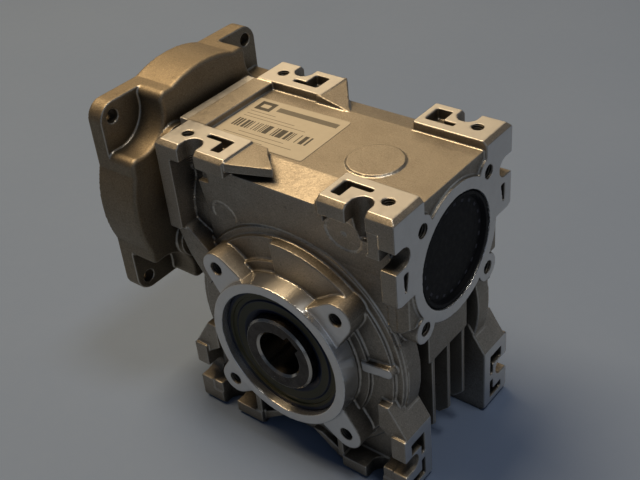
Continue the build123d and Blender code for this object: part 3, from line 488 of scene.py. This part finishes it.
def skin(name, rounds):
    """A new mesh for a casting: the CAD surface with its sharp edges rounded."""
    source = frame["nodes"][name]
    draft = bpy.data.objects.new(name + "_draft", source.data.copy())
    scene.collection.objects.link(draft)
    remesh = draft.modifiers.new("grid", "REMESH")
    remesh.mode = "VOXEL"
    remesh.voxel_size = SKIN_VOXEL * MM
    smooth = draft.modifiers.new("smooth", "SMOOTH")
    smooth.iterations = SKIN_PASSES
    smooth.factor = 0.5
    rounded = evaluated(draft)
    wrap = draft.modifiers.new("wrap", "SHRINKWRAP")
    wrap.target = source
    wrap.wrap_method = "NEAREST_SURFACEPOINT"
    wrapped = evaluated(draft)
    free, held = points_of(rounded), points_of(wrapped)
    gap = np.linalg.norm(held - free, axis=1)
    weight = np.clip((SNAP_FAR * MM - gap) / ((SNAP_FAR - SNAP_NEAR) * MM), 0, 1)[:, None]
    points = free + (held - free) * weight
    make_round(points, rounds)
    rounded.vertices.foreach_set("co", points.astype(np.float32).ravel())
    edge = rounded.attributes.new("edge", "FLOAT", "POINT")
    edge.data.foreach_set("value", np.clip(gap / (EDGE_REACH * MM), 0, 1).astype(np.float32))
    bpy.data.objects.remove(draft)
    piece = bpy.data.objects.new(name + "_casting", rounded)
    scene.collection.objects.link(piece)
    fewer = piece.modifiers.new("fewer", "DECIMATE")
    fewer.ratio = min(1.0, SKIN_TRIANGLES / (2 * len(rounded.polygons)))
    final = evaluated(piece)
    piece.modifiers.clear()
    piece.data = final
    for polygon in final.polygons:
        polygon.use_smooth = True
    normals = piece.modifiers.new("normals", "WEIGHTED_NORMAL")
    normals.weight = 100
    final.materials.clear()
    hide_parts(name)
    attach(piece, "casing")
    return piece


SLOTS = {part["node"]: part["material_slot"] for part in frame["record"]["subparts"]}
for node_name, rounds in (("housing", SIDE_ROUNDS + END_ROUNDS), ("side_cover", SIDE_ROUNDS),
                          ("motor_flange", FLANGE_ROUNDS)):
    piece = skin(node_name, rounds)
    piece.data.materials.append(MATERIALS[SLOTS[node_name]])

for node_name, node in frame["nodes"].items():
    node.data.materials.clear()
    node.data.materials.append(MATERIALS[SLOTS[node_name]])


# ---- floor, light and camera --------------------------------------------------------------------
def floor():
    z = cad_box[0][2]
    half = FLOOR_HALF * MM
    corners = [(-half, -half, z), (half, -half, z), (half, half, z), (-half, half, z)]
    mesh = bpy.data.meshes.new("floor")
    mesh.from_pydata(corners, [], [(0, 1, 2, 3)])
    obj = bpy.data.objects.new("floor", mesh)
    scene.collection.objects.link(obj)
    g = Graph("floor_paper")
    tone = g.mix(g.noise(140.0, 2.0), (0.155, 0.209, 0.327), (0.176, 0.232, 0.351))
    mesh.materials.append(g.finish(tone, g.remap(g.noise(6.0, 3.0), 0.3, 0.7, 0.80, 0.92),
                                   g.bump(g.noise(0.8, 2.0), 0.02), 0.0, Specular_IOR_Level=0.2))


def area_light(name, place, target, size, energy, color):
    light = bpy.data.lights.new(name, "AREA")
    light.shape = "RECTANGLE"
    light.size, light.size_y = size
    light.energy = energy
    light.color = color
    obj = bpy.data.objects.new(name, light)
    scene.collection.objects.link(obj)
    obj.location = place
    obj.rotation_euler = (Vector(target) - Vector(place)).to_track_quat("-Z", "Y").to_euler()


CAMERA_ANGLES = (41.32662, 35.32935, -5.96184)   # azimuth, elevation and roll, in degrees
CAMERA_TARGET = (36.4028, -52.3326, 71.4651)
CAMERA_DISTANCE = 290.917
CAMERA_LENS, CAMERA_SENSOR = 57.0007, 36


def camera():
    """Camera that orbits its target by azimuth and elevation, and then rolls."""
    azimuth, elevation, roll = (math.radians(angle) for angle in CAMERA_ANGLES)
    target = Vector(CAMERA_TARGET) * MM
    distance = CAMERA_DISTANCE * MM
    back = Vector((math.sin(azimuth) * math.cos(elevation), -math.cos(azimuth) * math.cos(elevation),
                   math.sin(elevation)))
    right = (-back).cross(Vector((0, 0, 1))).normalized()
    up = right.cross(-back)
    side = math.cos(roll) * right + math.sin(roll) * up
    top = math.cos(roll) * up - math.sin(roll) * right
    data = bpy.data.cameras.new("camera")
    data.sensor_width = CAMERA_SENSOR
    data.lens = CAMERA_LENS
    data.clip_start, data.clip_end = 0.01, 20
    obj = bpy.data.objects.new("camera", data)
    scene.collection.objects.link(obj)
    turn = Matrix((side, top, back)).transposed().to_4x4()
    obj.matrix_world = Matrix.Translation(target + back * distance) @ turn
    scene.camera = obj


def surroundings():
    world = bpy.data.worlds.new("room")
    scene.world = world
    world.use_nodes = True
    shade = world.node_tree.nodes["Background"]
    shade.inputs["Color"].default_value = (0.46, 0.56, 0.74, 1)
    shade.inputs["Strength"].default_value = 0.08
    area_light("key", (-0.50, -0.02, 1.22), (0, 0, 0.02), (0.7, 0.7), 18.2, (1.0, 0.74, 0.43))
    area_light("back", (-0.62, 0.78, 0.50), (0, 0, 0.04), (0.60, 0.35), 1.1, (1.0, 0.74, 0.42))
    area_light("strip", (0.34, 0.02, 1.20), (0, 0, 0), (0.28, 0.18), 3.2, (1.0, 0.95, 0.86))
    area_light("side", (0.95, 0.75, 0.30), (0, 0, 0.02), (0.30, 0.60), 0.5, (0.78, 0.87, 1.0))
    area_light("window", (0.75, -0.55, 0.35), (0, 0, 0.02), (0.6, 0.5), 0.4, (0.70, 0.82, 1.0))
    scene.view_settings.view_transform = "Standard"


floor()
surroundings()
camera()
